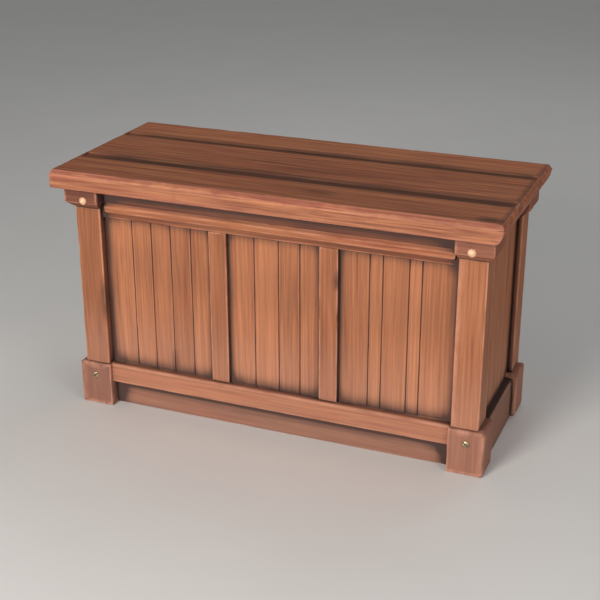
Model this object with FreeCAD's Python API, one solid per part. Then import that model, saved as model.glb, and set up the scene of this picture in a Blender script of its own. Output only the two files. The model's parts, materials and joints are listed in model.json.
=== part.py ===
import FreeCAD, Part
import math
import os

# Lidded storage chest: corner posts on block feet, collar capitals on the posts' heads, framed
# panels of vertical boards, and a heavy plank lid on two butt hinges.
# Millimetres. +Z is up, the front faces -Y, X runs along the width, and the origin is on the floor
# under the middle of the lid. Apart from its boards' widths and the lid's right end, the chest is
# symmetric about X = 0.

# ---- driving dimensions ----

LID_WIDTH = 1012.0
LID_DEPTH = 450.0
TOTAL_HEIGHT = 578.0
LID_THICKNESS = 43.0
LID_REST_GAP = 0.5
LID_BEVEL_OUT = 6.0
LID_BEVEL_DOWN = 11.0
LID_LOWER_ARRIS = 3.0
LID_RIGHT_END_FLATS = ((17.0, 0.0), (9.0, 5.0), (3.5, 16.0), (0.0, 31.0))

GROOVE_DEPTH = 5.0
GROOVE_END_INSET = 10.0
FRONT_GROOVE = (-105.0, -71.0)
BACK_GROOVE = (95.0, 122.0)

POST_SIDE = 61.0
POST_OUTER_X = 470.0
POST_OUTER_Y = 183.0
TENON_SIDE = 40.0
TENON_GAP = 4.0
TENON_TOP_GAP = 0.5
HOUSING = 8.0

FOOT_X = (405.0, 484.5)
FOOT_Y = (111.0, 188.0)
FOOT_HEIGHT = 106.0
FOOT_TENON_LENGTH = 60.0
FOOT_ROUND = 7.0
FOOT_CHAMFER = 3.0

CAPITAL_X = (403.0, 486.0)
CAPITAL_Y = (112.0, 201.0)
CAPITAL_BOTTOM = 486.5
CAPITAL_TAPER_OUTER = 14.5
CAPITAL_TAPER_INNER = 5.0
CAPITAL_TAPER_UP = 12.0
CAPITAL_CHAMFER = 1.5

FRAME_OUTER_Y = 171.0
FRAME_INNER_Y = 142.0
PANEL_OUTER_Y = 160.0
PANEL_THICKNESS = 14.0
TOP_RAIL_BOTTOM = 463.5
BOTTOM_RAIL_OUTER_Y = 179.0
BOTTOM_RAIL_BOTTOM = 59.0
RAIL_LEDGE_CHAMFER = 3.0
BOARD_GROOVE = 8.0
MUNTIN_CENTRE_X = 128.5
MUNTIN_WIDTH = 42.0

MOULDING_FACE_Y = 177.0
MOULDING_Z = (474.0, 499.0)
MOULDING_SLOPE_LOWER = 5.0
MOULDING_SLOPE_UPPER = 8.0
MOULDING_END_SLOPE = 4.0

SIDE_PANEL_OUTER_X = 457.0
SIDE_BASE_OUTER_X = 474.5
SIDE_BASE_HEIGHT = 96.0
SIDE_BASE_CHAMFER = 3.0
SIDE_CLEAT_WIDTH = 45.0
SIDE_CLEAT_THICKNESS = 22.0
SIDE_CLEAT_REACH = 96.0
SIDE_CLEAT_CHAMFER = 3.0

BOARD_GAP = 0.4
BOARD_CHAMFER = 1.3
LEFT_PANEL_WIDTHS = (65.5, 48.0, 47.5, 49.5, 48.5)
MIDDLE_PANEL_WIDTHS = (61.0, 56.5, 49.5, 48.0)
RIGHT_PANEL_WIDTHS = (66.5, 29.0, 57.0, 27.5, 79.0)
SIDE_BOARD_COUNT = 4

FLOOR_TOP = 72.0
FLOOR_THICKNESS = 14.0
FLOOR_BOARD_COUNT = 8
LEDGER_SIDE = 20.0

HINGE_RAIL_OUTER_Y = 201.0
HINGE_CENTRE_X = 300.0
HINGE_LENGTH = 80.0
KNUCKLE_COUNT = 5
KNUCKLE_GAP = 0.3
AXIS_Y = 205.5
AXIS_Z = 530.5
KNUCKLE_RADIUS = 4.2
PIN_RADIUS = 2.0
PIN_CLEARANCE = 0.05
PIN_HEAD_RADIUS = 3.2
PIN_HEAD_LENGTH = 1.5
LEAF_THICKNESS = 2.0
CASE_LEAF_BOTTOM = 492.0
LID_LEAF_WIDTH = 17.0
LEAF_SCREW_SPACING = 30.0
LEAF_SCREW_RADIUS = 1.5
LEAF_SCREW_HEAD_RADIUS = 3.2
LEAF_SCREW_LENGTH = 22.0

BATTEN_WIDTH = 50.0
BATTEN_THICKNESS = 22.0
BATTEN_CHAMFER = 7.0
BATTEN_HALF_LENGTH = 138.0
BATTEN_SCREW_Y = (-122.0, 12.0, 130.0)
BATTEN_SPACING = 300.0
BATTEN_SCREW_LENGTH = 46.0
BATTEN_SCREW_RADIUS = 2.5
BATTEN_SCREW_HEAD_RADIUS = 5.0
BATTEN_SCREW_HEAD_HEIGHT = 2.5

BOLT_X = 439.0
BOLT_Z = 506.0
BOLT_RADIUS = 4.0
BOLT_HEAD_RADIUS = 9.0
BOLT_HEAD_HEIGHT = 5.0
BOLT_TAIL = 9.0
NUT_POCKET_RADIUS = 11.0
NUT_POCKET_DEPTH = 10.0
WASHER_RADIUS = 8.5
WASHER_THICKNESS = 1.6
NUT_ACROSS_FLATS = 13.0
NUT_HEIGHT = 6.5

FOOT_SCREW_X = 445.0
FOOT_SCREW_Z = 75.0
FOOT_SCREW_RADIUS = 3.0
FOOT_SCREW_HEAD_RADIUS = 8.8
FOOT_SCREW_HEAD_HEIGHT = 3.6
FOOT_SCREW_LENGTH = 40.0
SLOT_WIDTH = 3.2
SLOT_DEPTH = 2.4
SLOT_TURN_DEG = 40.0

# ---- derived heights and places ----

LID_BOTTOM = TOTAL_HEIGHT - LID_THICKNESS
CASE_TOP = LID_BOTTOM - LID_REST_GAP
POST_INNER_X = POST_OUTER_X - POST_SIDE
POST_INNER_Y = POST_OUTER_Y - POST_SIDE
PANEL_INNER_Y = PANEL_OUTER_Y - PANEL_THICKNESS
SIDE_PANEL_INNER_X = SIDE_PANEL_OUTER_X - PANEL_THICKNESS
PANEL_TOP = TOP_RAIL_BOTTOM + BOARD_GROOVE
PANEL_BOTTOM = FOOT_HEIGHT - BOARD_GROOVE
FLOOR_BOTTOM = FLOOR_TOP - FLOOR_THICKNESS
SPLINE_TOP = TOTAL_HEIGHT - GROOVE_DEPTH

UP = FreeCAD.Vector(0, 0, 1)
BACKWARD = FreeCAD.Vector(0, 1, 0)
RIGHTWARD = FreeCAD.Vector(1, 0, 0)
ORIGIN = FreeCAD.Vector(0, 0, 0)
CUT_MARGIN = 1.0
CORNERS = {"front_left": (-1, -1), "front_right": (1, -1), "back_left": (-1, 1), "back_right": (1, 1)}
SIDES = {"left": -1, "right": 1}


# ---- shape helpers ----

def span(sign, limits):
    """A range measured outwards from the middle, placed on the side that sign names, low end first."""
    return sorted(sign * limit for limit in limits)


def block(x, y, z):
    """A box between the (low, high) pairs x, y and z."""
    corner = FreeCAD.Vector(x[0], y[0], z[0])
    return Part.makeBox(x[1] - x[0], y[1] - y[0], z[1] - z[0], corner)


def prism(points, direction):
    """A closed polygon pushed along a vector."""
    loop = [FreeCAD.Vector(*p) for p in points]
    return Part.Face(Part.makePolygon(loop + loop[:1])).extrude(direction)


def turned(outline, base, axis):
    """A solid of revolution: outline is (radius, distance along axis) points from axis to axis."""
    loop = [FreeCAD.Vector(r, 0, d) for r, d in outline]
    solid = Part.Face(Part.makePolygon(loop + loop[:1])).revolve(ORIGIN, UP, 360)
    solid.Placement = FreeCAD.Placement(base, FreeCAD.Rotation(UP, axis))
    return solid


def cylinder(radius, length, base, axis):
    return Part.makeCylinder(radius, length, base, axis)


def domed_head(radius, height, base, axis):
    """A spherical cap that stands on base and bulges along axis."""
    sphere_radius = (radius ** 2 + height ** 2) / (2 * height)
    centre = base - axis * (sphere_radius - height)
    ball = Part.makeSphere(sphere_radius, centre)
    return ball.common(cylinder(radius + CUT_MARGIN, height + CUT_MARGIN, base, axis))


def mirrored(shape, sign_x, sign_y):
    """A copy of a front right shape, carried to another corner."""
    if sign_x < 0:
        shape = shape.mirror(ORIGIN, RIGHTWARD)
    if sign_y > 0:
        shape = shape.mirror(ORIGIN, BACKWARD)
    return shape


def edges_along(shape, axis, keep):
    """Straight edges parallel to axis whose centre passes the test keep."""
    chosen = []
    for edge in shape.Edges:
        start, end = edge.Vertexes[0].Point, edge.Vertexes[-1].Point
        along = (end - start).cross(axis).Length < 1e-6
        if along and keep(edge.CenterOfMass):
            chosen.append(edge)
    return chosen


def save(name, shape):
    """Writes a node: one solid, or a group of separate solids."""
    solids = shape.Solids
    assert solids and all(solid.isValid() for solid in solids), name
    whole = solids[0] if len(solids) == 1 else Part.makeCompound(solids)
    whole.exportStep("parts/" + name + ".step")


# ---- corner blocks: foot, post and capital of the front right corner, mirrored to the others ----

def post_tenon(z):
    middle_x = (POST_OUTER_X + POST_INNER_X) / 2
    middle_y = (POST_OUTER_Y + POST_INNER_Y) / 2
    half = TENON_SIDE / 2
    return block((middle_x - half, middle_x + half), (-middle_y - half, -middle_y + half), z)


def foot_block():
    """A block taller than it is wide, with a rounded outer top corner and a mortise in its top."""
    foot = block(FOOT_X, span(-1, FOOT_Y), (0, FOOT_HEIGHT))
    outer = edges_along(foot, BACKWARD, lambda c: c.x > FOOT_X[1] - CUT_MARGIN)
    foot = foot.makeFillet(FOOT_ROUND, outer)
    upper = edges_along(foot, RIGHTWARD, lambda c: c.z > FOOT_HEIGHT - CUT_MARGIN)
    foot = foot.makeChamfer(FOOT_CHAMFER, upper)
    return foot.cut(post_tenon((FOOT_HEIGHT - FOOT_TENON_LENGTH, FOOT_HEIGHT)))


def post():
    shaft = block((POST_INNER_X, POST_OUTER_X), span(-1, (POST_INNER_Y, POST_OUTER_Y)),
                  (FOOT_HEIGHT, CAPITAL_BOTTOM))
    foot_tenon_low = FOOT_HEIGHT - FOOT_TENON_LENGTH + TENON_GAP
    return shaft.fuse(post_tenon((foot_tenon_low, CASE_TOP - TENON_TOP_GAP))).removeSplitter()


def capital_block():
    """A collar on the post's head, tapered in to the post at its lower edges, with a through mortise.
    It tapers further on its two outer sides, where it stands further out from the post."""
    full_bottom = CAPITAL_BOTTOM + CAPITAL_TAPER_UP
    body = block(CAPITAL_X, span(-1, CAPITAL_Y), (full_bottom, CASE_TOP))
    body = body.makeChamfer(CAPITAL_CHAMFER, edges_along(body, UP, lambda c: True))
    skirt = Part.makeLoft([
        capital_outline(CAPITAL_BOTTOM, CAPITAL_TAPER_OUTER, CAPITAL_TAPER_INNER),
        capital_outline(full_bottom, CAPITAL_CHAMFER, CAPITAL_CHAMFER)], True, True)
    return body.fuse(skirt).removeSplitter().cut(post_tenon((CAPITAL_BOTTOM, CASE_TOP)))


def capital_outline(z, outer, inner):
    """The capital's plan at height z, drawn in by outer on the two outer sides and inner on the others."""
    x = (CAPITAL_X[0] + inner, CAPITAL_X[1] - outer)
    y = (-CAPITAL_Y[1] + outer, -CAPITAL_Y[0] - inner)
    ring = [(x[0], y[0]), (x[1], y[0]), (x[1], y[1]), (x[0], y[1]), (x[0], y[0])]
    return Part.makePolygon([FreeCAD.Vector(a, b, z) for a, b in ring])


# ---- boards and rails ----

def board(x, y, z, face_axis, outward):
    """An upright board whose two outer long edges are chamfered, which makes a V with its neighbour.
    face_axis is "y" for the front and back panels and "x" for the sides; outward is the face's sign."""
    c = BOARD_CHAMFER
    across, through = (x, y) if face_axis == "y" else (y, x)
    face, rear = (through[1], through[0]) if outward > 0 else through
    outline = [(across[0], rear), (across[1], rear), (across[1], face - outward * c),
               (across[1] - c, face), (across[0] + c, face), (across[0], face - outward * c)]
    if face_axis == "y":
        points = [(a, t, z[0]) for a, t in outline]
    else:
        points = [(t, a, z[0]) for a, t in outline]
    return prism(points, UP * (z[1] - z[0]))


def row_of_boards(start, widths, through, z, face_axis, outward, extra_ends):
    """Boards side by side. The first and the last run on by extra_ends into their grooves."""
    boards, edge = [], start
    for index, width in enumerate(widths):
        low = edge + BOARD_GAP / 2 - (extra_ends if index == 0 else 0)
        high = edge + width - BOARD_GAP / 2 + (extra_ends if index == len(widths) - 1 else 0)
        x, y = ((low, high), through) if face_axis == "y" else (through, (low, high))
        boards.append(board(x, y, z, face_axis, outward))
        edge += width
    return boards


def long_panel(outward, start, widths):
    through = span(outward, (PANEL_INNER_Y, PANEL_OUTER_Y))
    z = (PANEL_BOTTOM + BOARD_GAP, PANEL_TOP - BOARD_GAP)
    return row_of_boards(start, widths, through, z, "y", outward, BOARD_GROOVE - BOARD_GAP)


def side_panel(outward):
    through = span(outward, (SIDE_PANEL_INNER_X, SIDE_PANEL_OUTER_X))
    widths = [2 * POST_INNER_Y / SIDE_BOARD_COUNT] * SIDE_BOARD_COUNT
    z = (SIDE_BASE_HEIGHT, CASE_TOP)
    return row_of_boards(-POST_INNER_Y, widths, through, z, "x", outward, BOARD_GROOVE - BOARD_GAP)


def long_rail(outward, outer_y, z, inner_x):
    """A rail along the front or the back, housed in the blocks at both ends."""
    reach = inner_x + HOUSING
    return block((-reach, reach), span(outward, (FRAME_INNER_Y, outer_y)), z)


def bottom_rail(outward):
    rail = long_rail(outward, BOTTOM_RAIL_OUTER_Y, (BOTTOM_RAIL_BOTTOM, FOOT_HEIGHT), FOOT_X[0])
    outer = edges_along(rail, RIGHTWARD, lambda c: abs(c.y) > BOTTOM_RAIL_OUTER_Y - CUT_MARGIN)
    return rail.makeChamfer(RAIL_LEDGE_CHAMFER, outer)


def muntin(outward, side):
    half = MUNTIN_WIDTH / 2
    centre = side * MUNTIN_CENTRE_X
    return block((centre - half, centre + half), span(outward, (FRAME_INNER_Y, FRAME_OUTER_Y)),
                 (FOOT_HEIGHT, TOP_RAIL_BOTTOM))


def moulding():
    """A strip planted on the front top rail, sloped back to it above and below, with raked ends."""
    low, high = MOULDING_Z
    back, face = -FRAME_OUTER_Y, -MOULDING_FACE_Y
    half = CAPITAL_X[0]
    section = [(back, low), (face, low + MOULDING_SLOPE_LOWER),
               (face, high - MOULDING_SLOPE_UPPER), (back, high)]
    strip = prism([(-half, y, z) for y, z in section], RIGHTWARD * (2 * half))
    for side in (-1, 1):
        tip = side * half
        root = tip - side * MOULDING_END_SLOPE
        wedge = [(tip, back, low), (root, back, low), (tip, back, high)]
        strip = strip.cut(prism(wedge, BACKWARD * (face - back)))
    return strip


def side_base_board(outward):
    x = span(outward, (SIDE_PANEL_INNER_X, SIDE_BASE_OUTER_X))
    reach = FOOT_Y[0] + HOUSING
    base = block(x, (-reach, reach), (0, SIDE_BASE_HEIGHT))
    upper = edges_along(base, BACKWARD, lambda c: abs(c.x) > SIDE_BASE_OUTER_X - CUT_MARGIN
                        and c.z > SIDE_BASE_HEIGHT - CUT_MARGIN)
    return base.makeChamfer(SIDE_BASE_CHAMFER, upper)


def side_cleat(outward):
    """Runs along the top of a side, inside, and ties the side boards' upper ends together."""
    x = span(outward, (SIDE_PANEL_INNER_X - SIDE_CLEAT_THICKNESS, SIDE_PANEL_INNER_X))
    y = (-SIDE_CLEAT_REACH, SIDE_CLEAT_REACH)
    cleat = block(x, y, (CASE_TOP - SIDE_CLEAT_WIDTH, CASE_TOP))
    lower_inner = edges_along(cleat, BACKWARD, lambda c: c.z < CASE_TOP - CUT_MARGIN
                              and abs(c.x) < SIDE_PANEL_INNER_X - CUT_MARGIN)
    return cleat.makeChamfer(SIDE_CLEAT_CHAMFER, lower_inner)


def floor_boards():
    """Boards that run from front to back, notched round the feet."""
    half = SIDE_PANEL_INNER_X
    width = 2 * half / FLOOR_BOARD_COUNT
    z = (FLOOR_BOTTOM, FLOOR_TOP)
    notches = [block(span(side, (FOOT_X[0], half)), span(outward, (FOOT_Y[0], FRAME_INNER_Y)), z)
               for side, outward in CORNERS.values()]
    boards = []
    for index in range(FLOOR_BOARD_COUNT):
        low = -half + index * width
        x = (low + BOARD_GAP, low + width - BOARD_GAP)
        boards.append(block(x, (-FRAME_INNER_Y, FRAME_INNER_Y), z).cut(notches))
    return boards


def floor_ledger(outward):
    y = span(outward, (FRAME_INNER_Y - LEDGER_SIDE, FRAME_INNER_Y))
    return block((-FOOT_X[0], FOOT_X[0]), y, (FLOOR_BOTTOM - LEDGER_SIDE, FLOOR_BOTTOM))


# ---- lid ----

def lid_blank():
    """The whole lid: bevelled all round the top, with small lower arrises. The right end is undercut
    in three flats, each point given as (inwards from the end, up from the lid's underside)."""
    half_x, half_y = LID_WIDTH / 2, LID_DEPTH / 2
    bevel = [(0, LID_THICKNESS - LID_BEVEL_DOWN), (LID_BEVEL_OUT, LID_THICKNESS)]
    plain = [(LID_LOWER_ARRIS, 0), (0, LID_LOWER_ARRIS)] + bevel
    undercut = list(LID_RIGHT_END_FLATS) + bevel
    end_points = [(half_x - i, LID_BOTTOM + up) for i, up in undercut]
    end_points += [(i - half_x, LID_BOTTOM + up) for i, up in reversed(plain)]
    edge_points = [(half_y - i, LID_BOTTOM + up) for i, up in plain]
    edge_points += [(i - half_y, LID_BOTTOM + up) for i, up in reversed(plain)]
    along_y = prism([(x, -half_y, z) for x, z in end_points], BACKWARD * LID_DEPTH)
    along_x = prism([(-half_x, y, z) for y, z in edge_points], RIGHTWARD * LID_WIDTH)
    return along_y.common(along_x)


def lid_strip(blank, y):
    return blank.common(block((-LID_WIDTH, LID_WIDTH), y, (0, TOTAL_HEIGHT)))


def lid_spline(blank, groove):
    """A sunk strip between two planks, left full height at both ends, which closes the groove."""
    reach = LID_WIDTH / 2 - GROOVE_END_INSET
    sunk = block((-reach, reach), groove, (SPLINE_TOP, TOTAL_HEIGHT))
    return lid_strip(blank, groove).cut(sunk)


def lid_batten(x):
    half = BATTEN_WIDTH / 2
    batten = block((x - half, x + half), (-BATTEN_HALF_LENGTH, BATTEN_HALF_LENGTH),
                   (LID_BOTTOM - BATTEN_THICKNESS, LID_BOTTOM))
    lower = edges_along(batten, RIGHTWARD, lambda c: c.z < LID_BOTTOM - CUT_MARGIN)
    return batten.makeChamfer(BATTEN_CHAMFER, lower)


def batten_screws(x):
    """Round-headed screws driven up through a batten, one into each lid plank."""
    under = LID_BOTTOM - BATTEN_THICKNESS
    screws = []
    for y in BATTEN_SCREW_Y:
        base = FreeCAD.Vector(x, y, under)
        head = domed_head(BATTEN_SCREW_HEAD_RADIUS, BATTEN_SCREW_HEAD_HEIGHT, base, -UP)
        screws.append(head.fuse(cylinder(BATTEN_SCREW_RADIUS, BATTEN_SCREW_LENGTH, base, UP)))
    return screws


# ---- brass bolts and screws: all stand in the front right corner, and are mirrored to the others ----

def nut_pocket():
    """The round pocket in a capital's inner face that the bolt's nut and washer sit in."""
    bottom = FreeCAD.Vector(BOLT_X, -CAPITAL_Y[0] - NUT_POCKET_DEPTH, BOLT_Z)
    return cylinder(NUT_POCKET_RADIUS, NUT_POCKET_DEPTH, bottom, BACKWARD)


def capital_bolt():
    """A coach bolt through a capital and the post's tenon, head outside."""
    face = FreeCAD.Vector(BOLT_X, -CAPITAL_Y[1], BOLT_Z)
    grip = CAPITAL_Y[1] - CAPITAL_Y[0] - NUT_POCKET_DEPTH
    head = domed_head(BOLT_HEAD_RADIUS, BOLT_HEAD_HEIGHT, face, -BACKWARD)
    return head.fuse(cylinder(BOLT_RADIUS, grip + BOLT_TAIL, face, BACKWARD))


def capital_washer():
    seat = FreeCAD.Vector(BOLT_X, -CAPITAL_Y[0] - NUT_POCKET_DEPTH, BOLT_Z)
    disc = cylinder(WASHER_RADIUS, WASHER_THICKNESS, seat, BACKWARD)
    return disc.cut(cylinder(BOLT_RADIUS, WASHER_THICKNESS, seat, BACKWARD))


def capital_nut():
    base = FreeCAD.Vector(BOLT_X, WASHER_THICKNESS - CAPITAL_Y[0] - NUT_POCKET_DEPTH, BOLT_Z)
    radius = NUT_ACROSS_FLATS / math.sqrt(3)
    angles = [math.radians(60 * k) for k in range(6)]
    ring = [(base.x + radius * math.cos(a), base.y, base.z + radius * math.sin(a)) for a in angles]
    nut = prism(ring, BACKWARD * NUT_HEIGHT)
    return nut.cut(cylinder(BOLT_RADIUS, NUT_HEIGHT, base, BACKWARD))


def foot_screw():
    """A slotted screw through a foot's outer face into the post's tenon."""
    face = FreeCAD.Vector(FOOT_SCREW_X, -FOOT_Y[1], FOOT_SCREW_Z)
    head = domed_head(FOOT_SCREW_HEAD_RADIUS, FOOT_SCREW_HEAD_HEIGHT, face, -BACKWARD)
    tip = face.y - FOOT_SCREW_HEAD_HEIGHT
    slot = block((face.x - FOOT_SCREW_HEAD_RADIUS, face.x + FOOT_SCREW_HEAD_RADIUS),
                 (tip - CUT_MARGIN, tip + SLOT_DEPTH),
                 (face.z - SLOT_WIDTH / 2, face.z + SLOT_WIDTH / 2))
    slot.rotate(face, BACKWARD, SLOT_TURN_DEG)
    return head.cut(slot).fuse(cylinder(FOOT_SCREW_RADIUS, FOOT_SCREW_LENGTH, face, BACKWARD))


def leaf_screw(base, axis):
    """A countersunk screw whose flat head lies in the leaf's surface at base, driven along axis."""
    outline = [(0, 0), (LEAF_SCREW_HEAD_RADIUS, 0), (LEAF_SCREW_RADIUS, LEAF_THICKNESS),
               (LEAF_SCREW_RADIUS, LEAF_SCREW_LENGTH), (0, LEAF_SCREW_LENGTH)]
    return turned(outline, base, axis)


# ---- hinges ----

def knuckle_spans(centre_x, owner):
    """The X ranges of one leaf's knuckles: the case leaf has the odd ones, the lid leaf the others."""
    pitch = HINGE_LENGTH / KNUCKLE_COUNT
    start = centre_x - HINGE_LENGTH / 2
    first = 0 if owner == "case" else 1
    return [(start + k * pitch + KNUCKLE_GAP / 2, start + (k + 1) * pitch - KNUCKLE_GAP / 2)
            for k in range(first, KNUCKLE_COUNT, 2)]


def hinge_leaf(centre_x, owner):
    """A plate from the pin's axis, relieved round the other leaf's knuckles, with its own knuckles."""
    x = (centre_x - HINGE_LENGTH / 2, centre_x + HINGE_LENGTH / 2)
    if owner == "case":
        plate = block(x, (HINGE_RAIL_OUTER_Y, HINGE_RAIL_OUTER_Y + LEAF_THICKNESS),
                      (CASE_LEAF_BOTTOM, AXIS_Z))
    else:
        plate = block(x, (AXIS_Y, AXIS_Y + LID_LEAF_WIDTH), (LID_BOTTOM - LEAF_THICKNESS, LID_BOTTOM))
    relief = KNUCKLE_RADIUS + 2 * KNUCKLE_GAP
    other = "lid" if owner == "case" else "case"
    for low, high in knuckle_spans(centre_x, other):
        base = FreeCAD.Vector(low - KNUCKLE_GAP, AXIS_Y, AXIS_Z)
        plate = plate.cut(cylinder(relief, high - low + 2 * KNUCKLE_GAP, base, RIGHTWARD))
    for low, high in knuckle_spans(centre_x, owner):
        base = FreeCAD.Vector(low, AXIS_Y, AXIS_Z)
        plate = plate.fuse(cylinder(KNUCKLE_RADIUS, high - low, base, RIGHTWARD))
    bore_base = FreeCAD.Vector(x[0], AXIS_Y, AXIS_Z)
    bore = cylinder(PIN_RADIUS + PIN_CLEARANCE, HINGE_LENGTH, bore_base, RIGHTWARD)
    return plate.cut(bore).removeSplitter()


def hinge_pin(centre_x):
    low = centre_x - HINGE_LENGTH / 2
    shank = cylinder(PIN_RADIUS, HINGE_LENGTH, FreeCAD.Vector(low, AXIS_Y, AXIS_Z), RIGHTWARD)
    ends = (low - PIN_HEAD_LENGTH, low + HINGE_LENGTH)
    for x in ends:
        base = FreeCAD.Vector(x, AXIS_Y, AXIS_Z)
        shank = shank.fuse(cylinder(PIN_HEAD_RADIUS, PIN_HEAD_LENGTH, base, RIGHTWARD))
    return shank


def leaf_screws(centre_x, owner):
    screws = []
    for k in (-1, 0, 1):
        x = centre_x + k * LEAF_SCREW_SPACING
        if owner == "case":
            z = (CASE_LEAF_BOTTOM + AXIS_Z - KNUCKLE_RADIUS) / 2
            base = FreeCAD.Vector(x, HINGE_RAIL_OUTER_Y + LEAF_THICKNESS, z)
            screws.append(leaf_screw(base, -BACKWARD))
        else:
            y = AXIS_Y + (KNUCKLE_RADIUS + LID_LEAF_WIDTH) / 2
            base = FreeCAD.Vector(x, y, LID_BOTTOM - LEAF_THICKNESS)
            screws.append(leaf_screw(base, UP))
    return screws


def hinge_rail():
    """Stands between the back capitals, flush with their back faces, and carries the hinges."""
    reach = CAPITAL_X[0]
    return block((-reach, reach), (FRAME_OUTER_Y, HINGE_RAIL_OUTER_Y), (CAPITAL_BOTTOM, CASE_TOP))


# ---- assembly: housings, grooves and screw holes are cut from the pieces that receive them ----

def main():
    os.makedirs("parts", exist_ok=True)
    hinge_centres = (-HINGE_CENTRE_X, HINGE_CENTRE_X)
    pieces = {}

    for corner, (side, outward) in CORNERS.items():
        pocket = mirrored(nut_pocket(), side, outward)
        pieces[corner + "_foot"] = mirrored(foot_block(), side, outward)
        pieces[corner + "_post"] = mirrored(post(), side, outward)
        pieces[corner + "_capital"] = mirrored(capital_block(), side, outward).cut(pocket)

    panel_start = {"left": -POST_INNER_X, "middle": MUNTIN_WIDTH / 2 - MUNTIN_CENTRE_X,
                   "right": MUNTIN_CENTRE_X + MUNTIN_WIDTH / 2}
    panel_widths = {"left": LEFT_PANEL_WIDTHS, "middle": MIDDLE_PANEL_WIDTHS, "right": RIGHT_PANEL_WIDTHS}
    for face, outward in (("front", -1), ("back", 1)):
        pieces[face + "_top_rail"] = long_rail(outward, FRAME_OUTER_Y, (TOP_RAIL_BOTTOM, CASE_TOP),
                                               POST_INNER_X)
        pieces[face + "_bottom_rail"] = bottom_rail(outward)
        pieces[face + "_base_board"] = long_rail(outward, PANEL_OUTER_Y, (0, BOTTOM_RAIL_BOTTOM),
                                                 FOOT_X[0])
        pieces[face + "_floor_ledger"] = floor_ledger(outward)
        for name, side in SIDES.items():
            pieces[f"{face}_{name}_muntin"] = muntin(outward, side)
        for name, start in panel_start.items():
            pieces[f"{face}_{name}_panel_boards"] = Part.makeCompound(
                long_panel(outward, start, panel_widths[name]))
    for name, side in SIDES.items():
        pieces[name + "_side_boards"] = Part.makeCompound(side_panel(side))
        pieces[name + "_base_board"] = side_base_board(side)
        pieces[name + "_inner_cleat"] = side_cleat(side)
    pieces["front_moulding"] = moulding()
    pieces["back_hinge_rail"] = hinge_rail()
    pieces["floor_boards"] = Part.makeCompound(floor_boards())

    blank = lid_blank()
    half_depth = LID_DEPTH / 2
    pieces["lid_front_plank"] = lid_strip(blank, (-half_depth, FRONT_GROOVE[0]))
    pieces["lid_middle_plank"] = lid_strip(blank, (FRONT_GROOVE[1], BACK_GROOVE[0]))
    pieces["lid_back_plank"] = lid_strip(blank, (BACK_GROOVE[1], half_depth))
    pieces["lid_front_spline"] = lid_spline(blank, FRONT_GROOVE)
    pieces["lid_back_spline"] = lid_spline(blank, BACK_GROOVE)
    batten_places = {"left": -BATTEN_SPACING, "middle": 0.0, "right": BATTEN_SPACING}
    for name, x in batten_places.items():
        pieces[f"lid_{name}_batten"] = lid_batten(x)

    pieces["capital_bolts"] = [mirrored(capital_bolt(), *c) for c in CORNERS.values()]
    pieces["capital_washers"] = [mirrored(capital_washer(), *c) for c in CORNERS.values()]
    pieces["capital_nuts"] = [mirrored(capital_nut(), *c) for c in CORNERS.values()]
    pieces["foot_screws"] = [mirrored(foot_screw(), *c) for c in CORNERS.values()]
    pieces["lid_batten_screws"] = [s for x in batten_places.values() for s in batten_screws(x)]
    pieces["hinge_case_leaves"] = [hinge_leaf(x, "case") for x in hinge_centres]
    pieces["hinge_lid_leaves"] = [hinge_leaf(x, "lid") for x in hinge_centres]
    pieces["hinge_pins"] = [hinge_pin(x) for x in hinge_centres]
    pieces["hinge_case_screws"] = [s for x in hinge_centres for s in leaf_screws(x, "case")]
    pieces["hinge_lid_screws"] = [s for x in hinge_centres for s in leaf_screws(x, "lid")]
    for name, shape in pieces.items():
        if isinstance(shape, list):
            pieces[name] = Part.makeCompound(shape)

    joints = []
    for corner, (side, outward) in CORNERS.items():
        face = "front" if outward < 0 else "back"
        edge = "left" if side < 0 else "right"
        post_name, foot_name, capital_name = corner + "_post", corner + "_foot", corner + "_capital"
        panel = f"{face}_{edge}_panel_boards"
        joints += [(panel, foot_name), (edge + "_side_boards", foot_name),
                   (edge + "_side_boards", capital_name), (edge + "_side_boards", "nut_pockets"),
                   (post_name, panel), (post_name, edge + "_side_boards"),
                   (post_name, face + "_top_rail"), (capital_name, face + "_top_rail"),
                   (foot_name, face + "_bottom_rail"), (foot_name, face + "_base_board"),
                   (foot_name, edge + "_base_board"),
                   (post_name, "capital_bolts"), (capital_name, "capital_bolts"),
                   (post_name, "foot_screws"), (foot_name, "foot_screws")]
    for face in ("front", "back"):
        for name in panel_start:
            panel = f"{face}_{name}_panel_boards"
            joints += [(face + "_top_rail", panel), (face + "_bottom_rail", panel)]
            joints += [(f"{face}_{edge}_muntin", panel) for edge in SIDES]
    joints += [("hinge_case_leaves", "hinge_case_screws"), ("back_hinge_rail", "hinge_case_screws"),
               ("hinge_lid_leaves", "hinge_lid_screws"), ("lid_back_plank", "hinge_lid_screws")]
    joints += [(f"lid_{name}_batten", "lid_batten_screws") for name in batten_places]
    joints += [(f"lid_{name}_plank", "lid_batten_screws") for name in ("front", "middle", "back")]
    pockets = Part.makeCompound([mirrored(nut_pocket(), *c) for c in CORNERS.values()])
    for receiver, guest in joints:
        tool = pockets if guest == "nut_pockets" else pieces[guest]
        pieces[receiver] = pieces[receiver].cut(tool)

    for name, shape in pieces.items():
        save(name, shape)


main()
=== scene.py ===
import json
import math
import random
from collections import namedtuple

import bmesh
import bpy
import numpy as np
from mathutils import Matrix, Vector, noise
from mathutils.bvhtree import BVHTree

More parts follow.
